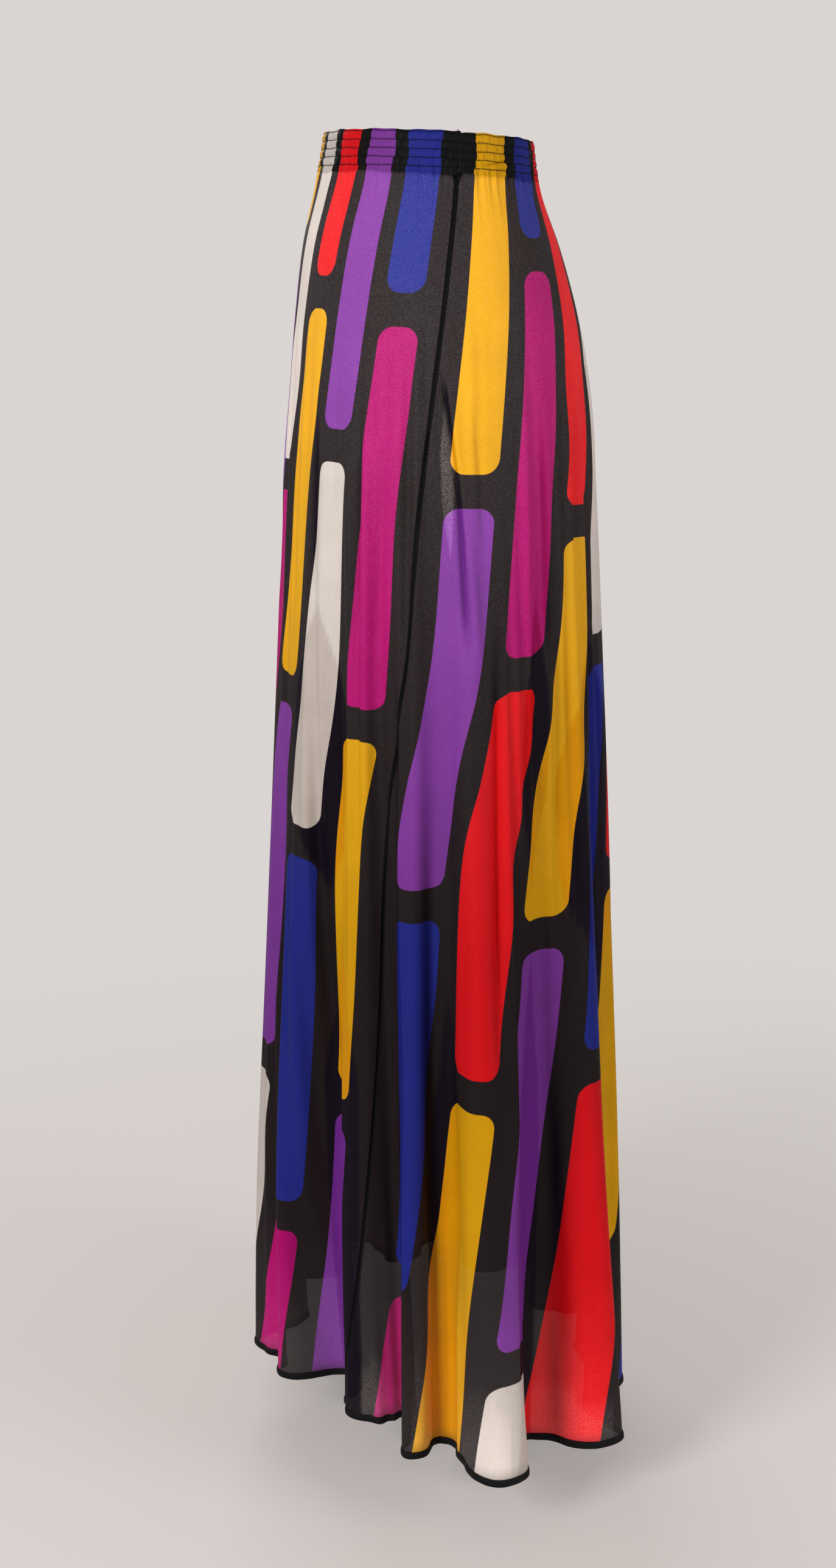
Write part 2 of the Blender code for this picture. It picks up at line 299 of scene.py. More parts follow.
# How the rolled binding's thickness and height vary along the hem, as shares, and how it is squared off
# and thinned towards its top
BINDING_RIPPLES = (Wave(1 / 0.0021, 0.0, 0.0, 0.10), Wave(1 / 0.0053, 0.0, 0.0, 0.07))
BINDING_SWELLS = (Wave(1 / 0.011, 0.0, 0.0, 0.03),)
BINDING_SQUARENESS = 0.7
BINDING_TAPER = 0.18

# How far above the hem a panel ends, as a share of the binding's height, how much closer its rows lie at
# the top, and how fast below the casing they even out
PANEL_END = 0.6
ROW_CLOSENESS = 0.55
ROW_EVENING = 8

# How finely the pieces follow the surface, and how finely lengths are measured along it
PANEL_COLUMNS = 340
PANEL_ROWS = 130
CASING_ROWS = 52
BINDING_SECTIONS = 1100
BINDING_POINTS = 14
ALLOWANCE_ROWS = 180
ALLOWANCE_COLUMNS = 7
STITCH_POINTS = 5
TAIL_POINTS = 7
MEASURE_POINTS = 2400

# Sockets of a colour mix, which has one set for each kind of data
MIX_FACTOR, MIX_A, MIX_B, MIX_RESULT = 0, 6, 7, 2


def linear(code):
    """An sRGB hex colour as linear red, green, blue and alpha."""
    parts = np.array([int(code[i:i + 2], 16) for i in (1, 3, 5)]) / 255
    light = np.where(parts <= 0.04045, parts / 12.92, ((parts + 0.055) / 1.055) ** 2.4)
    return (*light.tolist(), 1.0)


def ease(share):
    """A share held from 0 to 1 and smoothed at both ends."""
    held = np.clip(share, 0.0, 1.0)
    return held * held * (3 - 2 * held)


# The surface of the cloth

def smooth_column(drop, name):
    """A column of SECTIONS at any drop, along cubic pieces that keep the rows' average slopes."""
    rows = np.array([row.drop for row in SECTIONS])
    values = np.array([getattr(row, name) for row in SECTIONS], float)
    slopes = np.gradient(values, rows)
    i = np.clip(np.searchsorted(rows, drop, side="right") - 1, 0, len(rows) - 2)
    span = rows[i + 1] - rows[i]
    t = np.clip((drop - rows[i]) / span, 0.0, 1.0)
    start = values[i] * (2 * t**3 - 3 * t**2 + 1) + span * slopes[i] * (t**3 - 2 * t**2 + t)
    end = values[i + 1] * (3 * t**2 - 2 * t**3) + span * slopes[i + 1] * (t**3 - t**2)
    return start + end


def oval(angle, drop):
    """The plain section: an ellipse whose front and back reach differ and blend round the sides."""
    side = smooth_column(drop, "side")
    front = smooth_column(drop, "front")
    back = smooth_column(drop, "back")
    reach = (front + back) / 2 + (front - back) / 2 * np.cos(angle)
    return side * np.sin(angle), -reach * np.cos(angle)


def fold_lines(drop):
    """Angles, offsets and growth of every crest and valley at a drop, in order round the skirt."""
    down = np.clip((drop - FOLD_TOP) / (LENGTH - FOLD_TOP), -FOLD_LEAD, 1.0)
    lines = []
    for fold in FOLDS:
        grown = np.clip((drop - fold.start) / (LENGTH - fold.start), 0.0, 1.0) ** FOLD_GROWTH
        crest = np.radians(fold.crest_top + (fold.crest - fold.crest_top) * down)
        valley = np.radians(fold.valley_top + (fold.valley - fold.valley_top) * down)
        lines.append((crest, grown * fold.out, grown))
        lines.append((valley, -grown * fold.inward, grown))
    first = lines[0]
    lines.append((first[0] + 2 * math.pi, first[1], first[2]))
    return lines


def fold_shift(angle, drop):
    """How far the folds move the oval outwards, and round, which gives them upright, rounded flanks."""
    lines = fold_lines(drop)
    turned = np.mod(angle - lines[0][0], 2 * math.pi) + lines[0][0]
    out = np.zeros_like(turned)
    turn = np.zeros_like(turned)
    for here, following in zip(lines, lines[1:]):
        between = (turned >= here[0]) & (turned < following[0])
        width = following[0] - here[0]
        phase = math.pi * np.clip((turned - here[0]) / width, 0.0, 1.0)
        share = (1 + np.cos(phase)) / 2
        offset = here[1] * share + following[1] * (1 - share)
        grown = here[2] * share + following[2] * (1 - share)
        out = np.where(between, offset, out)
        turn = np.where(between, FOLD_ROUNDNESS * grown * width / math.pi * np.sin(2 * phase), turn)
    return out, turn


def smooth_cloth(angle, drop):
    """The cloth without creases: the oval, pushed along its outward normal and turned by the folds."""
    angle, drop = np.broadcast_arrays(np.asarray(angle, float), np.asarray(drop, float))
    out, turn = fold_shift(angle, drop)
    x, y = oval(angle + turn, drop)
    x_after, y_after = oval(angle + turn + STEP, drop)
    along_x, along_y = x_after - x, y_after - y
    push = out / np.hypot(along_x, along_y)
    tilt = WAIST_TILT * np.cos(angle) * (1 - drop / LENGTH) ** 2
    z = CASING_HEIGHT / 2 + tilt - drop
    return np.stack([x + push * along_y, y - push * along_x, z], axis=-1)


def outward(angle, drop):
    """The smooth cloth's outward unit normal: its slope downwards crossed with its slope round."""
    around = smooth_cloth(angle + STEP, drop) - smooth_cloth(angle - STEP, drop)
    down = smooth_cloth(angle, drop + STEP) - smooth_cloth(angle, drop - STEP)
    normal = np.cross(down, around)
    return normal / np.linalg.norm(normal, axis=-1, keepdims=True)


def wave_sum(waves, place, on=0.0):
    """The sum of a table's sine waves at a place, each swung on with the second measure."""
    return sum(wave.height * np.sin(wave.count * place + wave.swing * on + wave.phase) for wave in waves)


def relief(angle, drop):
    """Height of the creases: bell-shaped troughs and ridges that fade at both ends, with soft waves
    between them from the hips down, and short gathers that fade below the waist."""
    patches = WAVES_SHARE + wave_sum(WAVES_PATCHES, angle, drop)
    waves = MM * wave_sum(WAVES, angle, drop / LENGTH) * ease((drop - WAVES_TOP) / WAVES_RISE)
    waves = waves * patches * (1 + WAVES_GROWTH * drop / LENGTH)
    gathers = MM * wave_sum(GATHERS, angle) * np.exp(-np.maximum(drop - CASING_HEIGHT, 0) / GATHERS_FADE)
    height = waves + gathers * ease(2 * drop / CASING_HEIGHT - 1)
    for crease in CREASES:
        height = height + crease.height * MM * crease_bell(crease, angle, drop)
    return height


def past_angle(angle, drop, line):
    """How far in metres a point lies past another angle, round the skirt."""
    return (np.mod(angle - line + math.pi, 2 * math.pi) - math.pi) * smooth_column(drop, "side")


def past_line(angle, drop, angle_top, angle_foot, along):
    """How far in metres a point lies past a slanting line, round the skirt."""
    return past_angle(angle, drop, np.radians(angle_top + (angle_foot - angle_top) * along))


def crease_bell(crease, angle, drop):
    """A crease's share of its height: a bell across its line that eases out towards both ends."""
    along = (drop - crease.top) / (crease.foot - crease.top)
    across = past_line(angle, drop, crease.angle_top, crease.angle_foot, along) / (crease.half_width * MM)
    return ease(along / CREASE_TAPER) * ease((1 - along) / CREASE_TAPER) * np.exp(-across**2)


def doubled(angle, drop):
    """How much deeper or paler the cloth is painted, from -1 to 1. It is deeper between a stretch's two
    lines, which draw together to a point at each end that isn't at the hem, for cloth in two layers and
    painted shade in its recess, and deeper with painted shade along the troughs. It is paler in the
    stretches of painted light."""
    share = np.zeros(np.broadcast(angle, drop).shape)
    for stretch in DOUBLINGS_AND_PAINTED_LIGHT:
        along = (drop - stretch.top) / (stretch.foot - stretch.top)
        after = past_line(angle, drop, stretch.first_top, stretch.first_foot, along)
        before = -past_line(angle, drop, stretch.last_top, stretch.last_foot, along)
        left = 1.0 if stretch.foot > LENGTH - BINDING_HEIGHT else 1 - along
        spread = ease(np.minimum(along, left) / STRETCH_TAPER)
        inside = np.minimum(after, before) - (1 - spread) * (after + before) / 2
        inside = ease(inside / (STRETCH_EDGE * MM) + 0.5) * ease(4 * spread)
        share = share + (1 - np.abs(share)) * stretch.strength * inside * ((along > 0) & (along < 1))
    # Painted shade along the deeper crease troughs
    for crease in CREASES:
        if crease.height < TROUGH_HEIGHT:
            share = share + (1 - np.abs(share)) * TROUGH_SHADE * crease_bell(crease, angle, drop) ** 2
    return share


def lifted(angle, drop, lift):
    """Points of the creased cloth, moved out along the normal by lift."""
    angle, drop = np.broadcast_arrays(np.asarray(angle, float), np.asarray(drop, float))
    height = relief(angle, drop) + lift
    return smooth_cloth(angle, drop) + outward(angle, drop) * height[..., None]


def seams(part, drop):
    """Angles of the side seams where the front or the back starts and ends, at each drop."""
    left = np.radians(smooth_column(drop, "seam_left"))
    right = np.radians(smooth_column(drop, "seam_right"))
    return (right, left) if part == "front" else (left, right + 2 * math.pi)


def even_angles(start, end, drop, count):
    """Angles that share out each row's length of cloth evenly, and each row's whole length."""
    share = np.linspace(0, 1, MEASURE_POINTS)
    angle = start[:, None] + (end - start)[:, None] * share
    steps = np.linalg.norm(np.diff(smooth_cloth(angle, drop[:, None]), axis=1), axis=-1)
    run = np.concatenate([np.zeros((len(drop), 1)), np.cumsum(steps, axis=1)], axis=1)
    wanted = np.linspace(0, 1, count)
    rows = [np.interp(wanted * line[-1], line, place) for line, place in zip(run, angle)]
    return np.array(rows), run[:, -1]


# Meshes

def new_piece(name, points, faces, material, uv=None, **attributes):
    """A smooth mesh object from arrays of points and faces, with a map of its cut and named values."""
    mesh = bpy.data.meshes.new(name)
    faces = faces.tolist() if isinstance(faces, np.ndarray) else faces
    mesh.from_pydata(points.reshape(-1, 3).tolist(), [], faces)
    mesh.shade_smooth()
    mesh.materials.append(material)
    if uv is not None:
        corners = np.zeros(len(mesh.loops), int)
        mesh.loops.foreach_get("vertex_index", corners)
        layer = mesh.uv_layers.new(name="cut")
        layer.uv.foreach_set("vector", uv.reshape(-1, 2)[corners].ravel().astype(np.float32))
    for key, values in attributes.items():
        attribute = mesh.attributes.new(key, "FLOAT", "POINT")
        attribute.data.foreach_set("value", values.ravel().astype(np.float32))
    piece = bpy.data.objects.new(name, mesh)
    bpy.context.collection.objects.link(piece)
    return piece


def grid_faces(rows, columns):
    """Quads of a grid of points, facing outwards where rows go down and columns go round."""
    index = np.arange(rows * columns).reshape(rows, columns)
    here, right, below, beyond = index[:-1, :-1], index[:-1, 1:], index[1:, :-1], index[1:, 1:]
    return np.stack([here, below, beyond, right], axis=-1).reshape(-1, 4)


def ring_quads(rings):
    """Quads between each ring of points, along the last axis, and the next ring, along the one before."""
    here, beyond = rings[..., :-1, :], rings[..., 1:, :]
    quads = np.stack([here, beyond, np.roll(beyond, -1, axis=-1), np.roll(here, -1, axis=-1)], axis=-1)
    return quads.reshape(-1, 4)


def loop_faces(sections, points, closed_round):
    """Quads through closed loops, capped at both ends or joined all round."""
    index = np.arange(sections * points).reshape(sections, points)
    here = index if closed_round else index[:-1]
    beyond = np.roll(index, -1, axis=0) if closed_round else index[1:]
    quads = np.stack([here, np.roll(here, -1, axis=1), np.roll(beyond, -1, axis=1), beyond], axis=-1)
    faces = [quads.reshape(-1, 4)]
    if not closed_round:
        half = points // 2
        for loop in (index[0][::-1], index[-1]):
            near, far = loop[:half], loop[half:][::-1]
            faces.append(np.stack([near[:-1], near[1:], far[1:], far[:-1]], axis=-1))
    return np.concatenate(faces)


def solidify(piece, thickness, offset):
    """Gives a sheet its thickness with a modifier that closes its edges."""
    wall = piece.modifiers.new("thickness", "SOLIDIFY")
    wall.thickness = thickness
    wall.offset = offset
    wall.use_rim = True
    wall.use_even_offset = False
    return piece


def thread_tubes(centres, normals, radius, sides=5):
    """Many short threads at once: rings round each line of centres, drawn in at both ends.

    A ring's point is its centre plus the radius times the cosine of its turn along the surface normal and
    the sine across the thread. The centres are an array of threads by points by 3.
    """
    count, points = centres.shape[:2]
    across = np.cross(np.gradient(centres, axis=1), normals)
    across /= np.linalg.norm(across, axis=-1, keepdims=True)
    turn = np.linspace(0, 2 * math.pi, sides, endpoint=False)
    width = np.full(points, radius)
    width[[0, -1]] = THREAD_END * radius
    ring = np.cos(turn)[:, None] * normals[:, :, None] + np.sin(turn)[:, None] * across[:, :, None]
    vertices = centres[:, :, None] + ring * width[:, None, None]
    index = np.arange(count * points * sides).reshape(count, points, sides)
    return vertices, [*ring_quads(index).tolist(), *index[:, 0].tolist(), *index[:, -1, ::-1].tolist()]


def finish_piece(piece, slot, *replaced):
    """Ties a piece to the skirt's one body and hides the solids it stands for. The slot is not used."""
    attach(piece, "root")
    if replaced:
        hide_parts(*replaced)


# Materials

def add_node(tree, kind, inputs=None, **settings):
    """Adds a node, gives it its settings, and sets or links its inputs."""
    node = tree.nodes.new(kind)
    for name, value in settings.items():
        setattr(node, name, value)
    for name, value in (inputs or {}).items():
        if isinstance(value, bpy.types.NodeSocket):
            tree.links.new(value, node.inputs[name])
        else:
            node.inputs[name].default_value = value
    return node


def new_material(name):
    """An empty node material and its tree."""
    material = bpy.data.materials.new(name)
    material.use_nodes = True
    material.node_tree.nodes.clear()
    return material, material.node_tree


def work_out(tree, values, steps):
    """Adds a maths node for each step and keeps its result among the values.

    A step is the name of its result, the operation, with a plus sign if it is held from 0 to 1, and what
    it works on: numbers and the names of values.
    """
    for result, operation, *operands in steps:
        inputs = {i: values[item] if isinstance(item, str) else item for i, item in enumerate(operands)}
        clamped = operation.endswith("+")
        node = add_node(tree, "ShaderNodeMath", inputs, operation=operation.rstrip("+"), use_clamp=clamped)
        values[result] = node.outputs[0]


# The print is a plain one: bars with rounded corners in staggered columns on black. How many columns a
# panel has, and by how much of the round of colours each column and each row moves on
BAR_COLUMNS = 8
BAR_COLOURS = ("red", "yellow", "purple", "cream", "blue", "magenta")
COLUMN_STEP = 0.382
ROW_STEP = 0.19
FIRST_COLOUR = {"front": 0.12, "back": 0.30}

# Where in its first bar a column starts, how far every second column is moved on, and the turn and the
# height of the wave that makes the columns a little uneven, in shares of a bar
ROW_START = 0.15
STAGGER = 0.5
UNEVEN_TURN, UNEVEN_HEIGHT = 2.4, 0.09

# A panel's flat width at the casing and at the hem
PANEL_WIDTHS = (0.36, 0.84)


def column_steps(sizes):
    """Which column a point is in, and how far aside it lies of the inner rectangle of the column's bars.

    A panel's width less its margins is shared out evenly in columns, which widen with the flare.
    """
    used = (1 - 2 * sizes.seam_margin) / BAR_COLUMNS
    top, foot = PANEL_WIDTHS
    return (
        ("place", "SUBTRACT", "across", sizes.seam_margin),
        ("place", "DIVIDE", "place", used),
        ("place", "MAXIMUM", "place", 0.0),
        ("place", "MINIMUM", "place", BAR_COLUMNS - 1e-4),
        ("column", "FLOOR", "place"),
        ("aside", "SUBTRACT", "place", "column"),
        ("aside", "SUBTRACT", "aside", 0.5),
        ("aside", "ABSOLUTE", "aside"),
        ("pitch", "MULTIPLY_ADD", "down", (foot - top) * used, top * used),
        ("aside", "MULTIPLY", "aside", "pitch"),
        ("half", "MULTIPLY_ADD", "pitch", sizes.bar_width / 2, -sizes.bar_corner),
        ("aside", "SUBTRACT", "aside", "half"),
        ("aside", "MAXIMUM", "aside", 0.0),
    )


def bar_steps(sizes):
    """Which of its column's bars a point is in, and how far past the inner rectangle's end it lies.

    Each column holds bars end to end, half a bar lower in every second column and a little unevenly.
    """
    return (
        ("stagger", "MODULO", "column", 2.0),
        ("stagger", "MULTIPLY_ADD", "stagger", STAGGER, ROW_START),
        ("uneven", "MULTIPLY", "column", UNEVEN_TURN),
        ("uneven", "SINE", "uneven"),
        ("stagger", "MULTIPLY_ADD", "uneven", UNEVEN_HEIGHT, "stagger"),
        ("along", "MULTIPLY_ADD", "down", LENGTH / sizes.bar_length, "stagger"),
        ("row", "FLOOR", "along"),
        ("ahead", "SUBTRACT", "along", "row"),
        ("ahead", "SUBTRACT", "ahead", 0.5),
        ("ahead", "ABSOLUTE", "ahead"),
        ("ahead", "MULTIPLY", "ahead", sizes.bar_length),
        ("ahead", "SUBTRACT", "ahead", (sizes.bar_length - sizes.bar_gap) / 2 - sizes.bar_corner),
        ("ahead", "MAXIMUM", "ahead", 0.0),
    )


def ink_steps(sizes, first_colour):
    """Whether a point is inside its bar, nearer than the corner's radius to the bar's inner rectangle,
    and the share of the round of colours that picks the bar's ink."""
    return (
        ("aside", "MULTIPLY", "aside", "aside"),
        ("away", "MULTIPLY_ADD", "ahead", "ahead", "aside"),
        ("away", "SQRT", "away"),
        ("inside", "SUBTRACT", sizes.bar_corner, "away"),
        ("inside", "DIVIDE+", "inside", sizes.edge),
        ("pick", "MULTIPLY_ADD", "column", COLUMN_STEP, first_colour),
        ("pick", "MULTIPLY_ADD", "row", ROW_STEP, "pick"),
        ("pick", "FRACT", "pick"),
    )


def print_colour(tree, values, part, shade, black):
    """The colour of the print, from the shares across the panel and down the skirt: the ink of the bar
    that a point is in, out of even steps of the plain colours, or else the black ground."""
    sizes, colours = bpy.context.scene.skirt_print, bpy.context.scene.skirt_colours
    for steps in (column_steps(sizes), bar_steps(sizes), ink_steps(sizes, FIRST_COLOUR[part])):
        work_out(tree, values, steps)
    ink = add_node(tree, "ShaderNodeValToRGB", {"Fac": values["pick"]})
    ink.color_ramp.interpolation = "CONSTANT"
    points = ink.color_ramp.elements
    for i, name in enumerate(BAR_COLOURS):
        point = points[i] if i < 2 else points.new(i / len(BAR_COLOURS))
        point.position = i / len(BAR_COLOURS)
        point.color = (*(shade * level for level in getattr(colours, name)[:3]), 1.0)
    mix = add_node(tree, "ShaderNodeMix", {MIX_FACTOR: values["inside"], MIX_A: black,
                                           MIX_B: ink.outputs["Color"]}, data_type="RGBA")
    return mix.outputs[MIX_RESULT]


# A finish of the crepe: its name, how bright its inks are, which black is its ground, how much a single
# black layer hides, how much its pores show, how dark its rows of stitches are with their thread and
# painted shade, and its tone where no light comes through
Crepe = namedtuple("Crepe", "name shade black cover pores groove unlit")
SINGLE_CREPE = Crepe("screen printed silk crepe", 1.0, "black", 0.84, 0.06, 0.0, 0.60)
DOUBLED_CREPE = Crepe("doubled printed silk crepe", 0.60, "doubled_black", 0.96, 0.0, 0.70, 1.0)

# How far the grain is drawn out upwards, and how many clouds of tone there are in a metre
GRAIN_STRETCH = (1.0, 1.0, 0.7)
CLOUDS = 24.0

# How far below the casing a seam's strip is still widened, the share that it narrows by down to the hem,
# and the softness of its edge
FLARE_HEIGHT = 0.009
STRIP_NARROWING = 0.25
STRIP_EDGE = 0.3 * MM

# How strong the painted light from behind that comes through the weave is at the top, and how much of that
# it loses in the skirt's length; the share of the length from which painted pale light from the floor
# shines through single cloth, and how fast that grows
BACK_LIGHT_TOP, BACK_LIGHT_LOSS = 1.35, 2.2
HEM_LIGHT_TOP, HEM_LIGHT_RISE = 0.86, 5.0

# The share of the length from which the floor lights the cloth, how fast that grows, and how much it adds
FLOOR_LIGHT_TOP, FLOOR_LIGHT_RISE, FLOOR_LIGHT = 0.72, 4.0, 0.35

# The level of the grain at which a pore lets light through, how sharply, and how much more in ink
PORE_LEVEL, PORE_SHARPNESS, PORE_IN_INK = 0.38, 4.0, 0.3

# The darkest cloud and the span up to the palest, and how strong the grain is on black and how much less
# in ink
CLOUD_LOW, CLOUD_SPAN = 0.88, 0.24
GRIT_BLACK, GRIT_INK_LOSS = 1.5, 0.9

# How much deeper doubled cloth and the painted shade of recesses and troughs look, how much ink closes the
# weave as a share of what doubling does, how much doubled cloth hides, and how much less the cloth hides by
# the hem
DEEPENING_AND_SHADE = 0.30
INK_THICKNESS = 0.25
FULL_COVER = 0.97
HEM_COVER_LOSS = 0.10

# How far from a row of stitches the drawn-in casing is shadowed
ROW_SHADOW = 0.8 * MM


def strip_steps(half_width):
    """The darker strip of the pressed allowances behind a side seam: it narrows a little down to the
    hem, and is wider where it comes out of the casing."""
    return (
        ("flare", "SUBTRACT", (CASING_HEIGHT + FLARE_HEIGHT) / LENGTH, "down"),
        ("flare", "DIVIDE+", "flare", FLARE_HEIGHT / LENGTH),
        ("flare", "POWER", "flare", 2.0),
        ("narrow", "MULTIPLY_ADD", "down", -STRIP_NARROWING * half_width, half_width),
        ("strip", "MULTIPLY_ADD", "flare", half_width, "narrow"),
        ("strip", "SUBTRACT", "strip", "seam"),
        ("strip", "DIVIDE+", "strip", STRIP_EDGE),
    )


def light_steps(unlit):
    """How much painted light comes through the weave: less of it further down, where the colours turn
    deeper, more again near the pale floor, and none through a seam or through cloth in two layers or
    painted shade."""
    return (
        ("open", "MULTIPLY_ADD+", "down", -BACK_LIGHT_LOSS, BACK_LIGHT_TOP),
        ("hem", "SUBTRACT", "down", HEM_LIGHT_TOP),
        ("hem", "MULTIPLY+", "hem", HEM_LIGHT_RISE),
        ("open", "MAXIMUM", "open", "hem"),
        ("single", "SUBTRACT", 1.0, "strip"),
        ("open", "MULTIPLY", "open", "single"),
        ("over", "SUBTRACT", 1.0, "layers"),
        ("open", "MULTIPLY", "open", "over"),
        ("floor", "SUBTRACT", "down", FLOOR_LIGHT_TOP),
        ("floor", "MULTIPLY+", "floor", FLOOR_LIGHT_RISE),
        ("floor", "MULTIPLY_ADD", "floor", FLOOR_LIGHT * (1 - unlit), unlit),
        ("lit", "MULTIPLY_ADD", "open", 1 - unlit, "floor"),
    )


def pore_steps(pores):
    """How much pale light a pore of the grain lets through, where the weave is open to it."""
    return (
        ("speck", "SUBTRACT", "grain", PORE_LEVEL),
        ("speck", "MULTIPLY+", "speck", PORE_SHARPNESS),
        ("speck", "MULTIPLY", "speck", pores),
        ("speck", "MULTIPLY", "speck", "open"),
        ("speck", "MULTIPLY", "speck", "over"),
        ("bare", "MULTIPLY_ADD", "inside", PORE_IN_INK, 1.0),
        ("speck", "MULTIPLY", "speck", "bare"),
    )


def shadow_steps(groove):
    """The painted shadow along each row of stitches, where the casing is drawn in, with the dark thread
    that runs between the stitches.
    """
    return (
        ("line", "SUBTRACT", "down", FIRST_ROW / LENGTH),
        ("line", "DIVIDE", "line", ROW_PITCH / LENGTH),
        ("line", "ADD", "line", 0.5),
        ("line", "FRACT", "line"),
        ("line", "SUBTRACT", "line", 0.5),
        ("line", "ABSOLUTE", "line"),
        ("line", "DIVIDE+", "line", ROW_SHADOW / ROW_PITCH),
        ("line", "MULTIPLY_ADD", "line", groove, 1 - groove),
    )


def tone_steps():
    """The cloth's tone: a little cloudy, gritty with its grain, less so in ink, brightened by painted light
    from behind and from the floor, and darkened by painted shade along the rows of stitches. Doubled cloth
    and the painted shade of recesses and troughs are deeper."""
    return (
        ("tone", "MULTIPLY_ADD", "cloud", CLOUD_SPAN, CLOUD_LOW),
        ("coarse", "MULTIPLY_ADD", "inside", -GRIT_INK_LOSS, GRIT_BLACK),
        ("grit", "SUBTRACT", "grain", 0.5),
        ("grit", "MULTIPLY_ADD", "grit", "coarse", 1.0),
        ("tone", "MULTIPLY", "tone", "grit"),
        ("tone", "MULTIPLY", "tone", "lit"),
        ("tone", "MULTIPLY", "tone", "line"),
        ("deep", "MULTIPLY_ADD", "double", DEEPENING_AND_SHADE, 1.0),
    )


def cover_steps(cover):
    """How much the cloth hides: the black ground the least, ink more, a seam or doubled cloth the most,
    and all of them less by the hem."""
    return (
        ("thick", "MULTIPLY", "inside", INK_THICKNESS),
        ("thick", "MAXIMUM", "thick", "strip"),
        ("thick", "MAXIMUM", "thick", "layers"),
        ("cover", "MULTIPLY_ADD", "thick", FULL_COVER - cover, cover),
        ("cover", "MULTIPLY_ADD", "hem", -HEM_COVER_LOSS, "cover"),
    )


def crepe_material(crepe, part):
    """Silk crepe, woven of hard-twisted yarn and screen printed: matt, with a fine pebbled grain whose
    crests glint and whose pores let painted pale light through. Ink and doubled cloth close the weave, and
    doubled black is tinged by the inks behind it. The painted shade of recesses and troughs darkens it the
    same way, and a few stretches are painted paler with highlight and floor light. The real grain of about
    0.3 mm is drawn at twice that.
    """
    colours, sizes = bpy.context.scene.skirt_colours, bpy.context.scene.skirt_print
    material, tree = new_material(f"{crepe.name}, {part}")
    cut = add_node(tree, "ShaderNodeUVMap", uv_map="cut")
    place = add_node(tree, "ShaderNodeSeparateXYZ", {0: cut.outputs["UV"]})
    # The layers attribute: the deeper tone of cloth in two layers with painted shade in recesses and
    # troughs, and below nought painted highlight and floor light
    layers = add_node(tree, "ShaderNodeAttribute", attribute_name="layers", attribute_type="GEOMETRY")
    seam = add_node(tree, "ShaderNodeAttribute", attribute_name="seam_distance", attribute_type="GEOMETRY")
    where = add_node(tree, "ShaderNodeTexCoord").outputs["Object"]
    drawn = add_node(tree, "ShaderNodeVectorMath", {0: where, 1: GRAIN_STRETCH}, operation="MULTIPLY")
    grain = add_node(tree, "ShaderNodeTexNoise", {"Vector": drawn.outputs[0], "Scale": 1 / sizes.grain,
                                                  "Detail": 2.0, "Roughness": 0.6})
    cloud = add_node(tree, "ShaderNodeTexNoise", {"Vector": where, "Scale": CLOUDS, "Detail": 2.0})
    values = {"across": place.outputs["X"], "down": place.outputs["Y"], "layers": layers.outputs["Fac"],
              "seam": seam.outputs["Fac"], "grain": grain.outputs["Fac"], "cloud": cloud.outputs["Fac"]}
    # Where the cloth lies in two layers, and where shade of recesses and troughs is painted, the black
    # ground turns to the tinged black
    work_out(tree, values, (("double", "MAXIMUM", "layers", 0.0),))
    ground = add_node(tree, "ShaderNodeMix", {
        MIX_FACTOR: values["double"], MIX_A: tuple(getattr(colours, crepe.black)),
        MIX_B: tuple(colours.tinged_black)}, data_type="RGBA")
    printed = print_colour(tree, values, part, crepe.shade, ground.outputs[MIX_RESULT])
    for steps in (strip_steps(sizes.allowance), light_steps(crepe.unlit), pore_steps(crepe.pores),
                  shadow_steps(crepe.groove), tone_steps(), cover_steps(crepe.cover)):
        work_out(tree, values, steps)
    joined = add_node(tree, "ShaderNodeMix", {MIX_FACTOR: values["strip"], MIX_A: printed,
                                              MIX_B: tuple(colours.doubled_black)}, data_type="RGBA")
    pale = add_node(tree, "ShaderNodeMix", {MIX_FACTOR: values["speck"], MIX_A: joined.outputs[MIX_RESULT],
                                            MIX_B: tuple(colours.pore)}, data_type="RGBA")
    # The gamma deepens the colour where the cloth lies in two layers and in the painted shade of recesses
    # and troughs
    deepened = add_node(tree, "ShaderNodeGamma", {"Color": pale.outputs[MIX_RESULT],
                                                  "Gamma": values["deep"]})
    toned = add_node(tree, "ShaderNodeVectorMath", {0: deepened.outputs["Color"], 3: values["tone"]},
                     operation="SCALE")
    bump = add_node(tree, "ShaderNodeBump", {"Height": grain.outputs["Fac"], "Strength": 0.6,
                                             "Distance": 0.25 * MM})
    shader = add_node(tree, "ShaderNodeBsdfPrincipled", {
        "Base Color": toned.outputs[0], "Roughness": 0.58, "IOR": 1.5, "Alpha": values["cover"],
        "Specular IOR Level": 0.07, "Sheen Weight": 0.01, "Sheen Roughness": 0.45,
        "Normal": bump.outputs["Normal"]})
    add_node(tree, "ShaderNodeOutputMaterial", {"Surface": shader.outputs["BSDF"]})
    return material


# The darkest tone of a plain finish's grain and the span up to the palest
PLAIN_LOW, PLAIN_SPAN = 0.55, 0.9


